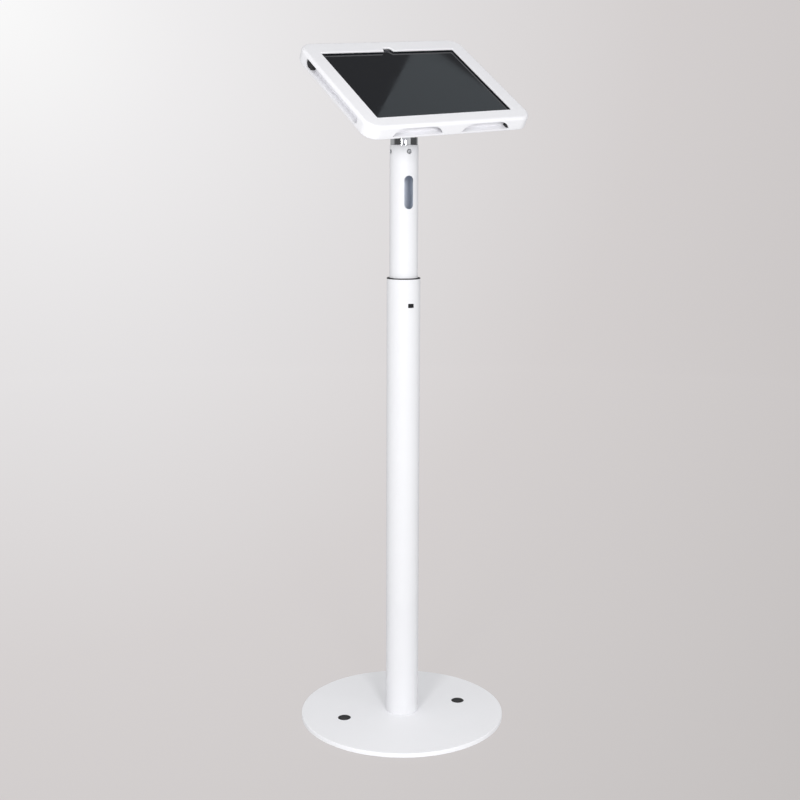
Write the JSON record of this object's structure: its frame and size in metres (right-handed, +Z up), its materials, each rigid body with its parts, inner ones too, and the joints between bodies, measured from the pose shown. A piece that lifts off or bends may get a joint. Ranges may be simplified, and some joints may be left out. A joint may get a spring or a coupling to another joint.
{
  "type": "adjustable tablet floor stand",
  "caption": "Free-standing floor stand on a round base: a telescoping tube column carries a slim framed tablet enclosure that swivels, tilts and turns between landscape and portrait.",
  "frame": {"origin": "on the floor under the middle of the round base, at the floor pad's underside", "axes": "+Z up along the column, -Y towards the user in front of the stand, +X to the user's right"},
  "size_m": [0.3827, 0.38, 1.2522],
  "materials": {
    "white_powder": "fine satin powder coat",
    "white_plastic": "satin moulded plastic",
    "black_plastic": "satin",
    "black_rubber": "matte",
    "grey_foam": "closed-cell foam",
    "chrome": "bright polished",
    "steel": "zinc plated",
    "black_steel": "black oxide",
    "nylon": "natural nylon",
    "tablet_metal": "anodised",
    "screen_glass": "dark gloss display glass",
    "lens_glass": "dark gloss"
  },
  "bodies": {
    "base_column": {"base_plate": "white_powder", "floor_pad": "black_rubber", "anchor_plugs": "black_plastic", "column_foot": "steel", "foot_bolts": "steel", "lower_tube": "white_powder", "exit_grommet": "black_rubber", "guide_bush": "black_plastic", "lock_boss": "white_powder", "lock_screw": "black_steel"},
    "mast": {"upper_tube": "white_powder", "glide_ring": "black_plastic", "clamp_ring": "steel", "neck_set_screws": "steel"},
    "neck": {"swivel_neck": "chrome"},
    "tilt_head": {"tilt_bracket": "black_steel", "pivot_bolt": "steel", "pivot_nut": "steel", "pivot_washers": "steel", "slip_washers": "nylon", "slip_disc": "nylon", "hub_bolt": "steel", "hub_washer": "steel", "hub_nut": "steel", "stop_pin": "steel"},
    "enclosure": {"mounting_plate": "black_steel", "plate_screws": "steel", "back_plate": "white_plastic", "cover_screws": "black_steel", "cable_grommet": "black_rubber", "back_pads": "grey_foam", "corner_blocks": "black_rubber", "tablet_shell": "tablet_metal", "tablet_glass": "screen_glass", "camera_lens": "lens_glass", "screen_gasket": "black_rubber", "front_cover": "white_plastic"}
  },
  "joints": [
    {"name": "height_slide", "type": "slide", "parent": "base_column", "child": "mast", "axis": [0, 0, 1], "range_m": [-0.11, 0.15]},
    {"name": "head_swivel", "type": "hinge", "parent": "mast", "child": "neck", "pos_m": [0, 0, 1.0611], "axis": [0, 0, 1], "continuous": true},
    {"name": "head_tilt", "type": "hinge", "parent": "neck", "child": "tilt_head", "pos_m": [0, 0, 1.1031], "axis": [0.9936, 0.1132, 0], "range_deg": [-35, 55]},
    {"name": "head_turn", "type": "hinge", "parent": "tilt_head", "child": "enclosure", "pos_m": [0.00362, -0.0318, 1.14881], "axis": [0.0649, -0.5699, 0.8192], "range_deg": [-8, 82]}
  ]
}
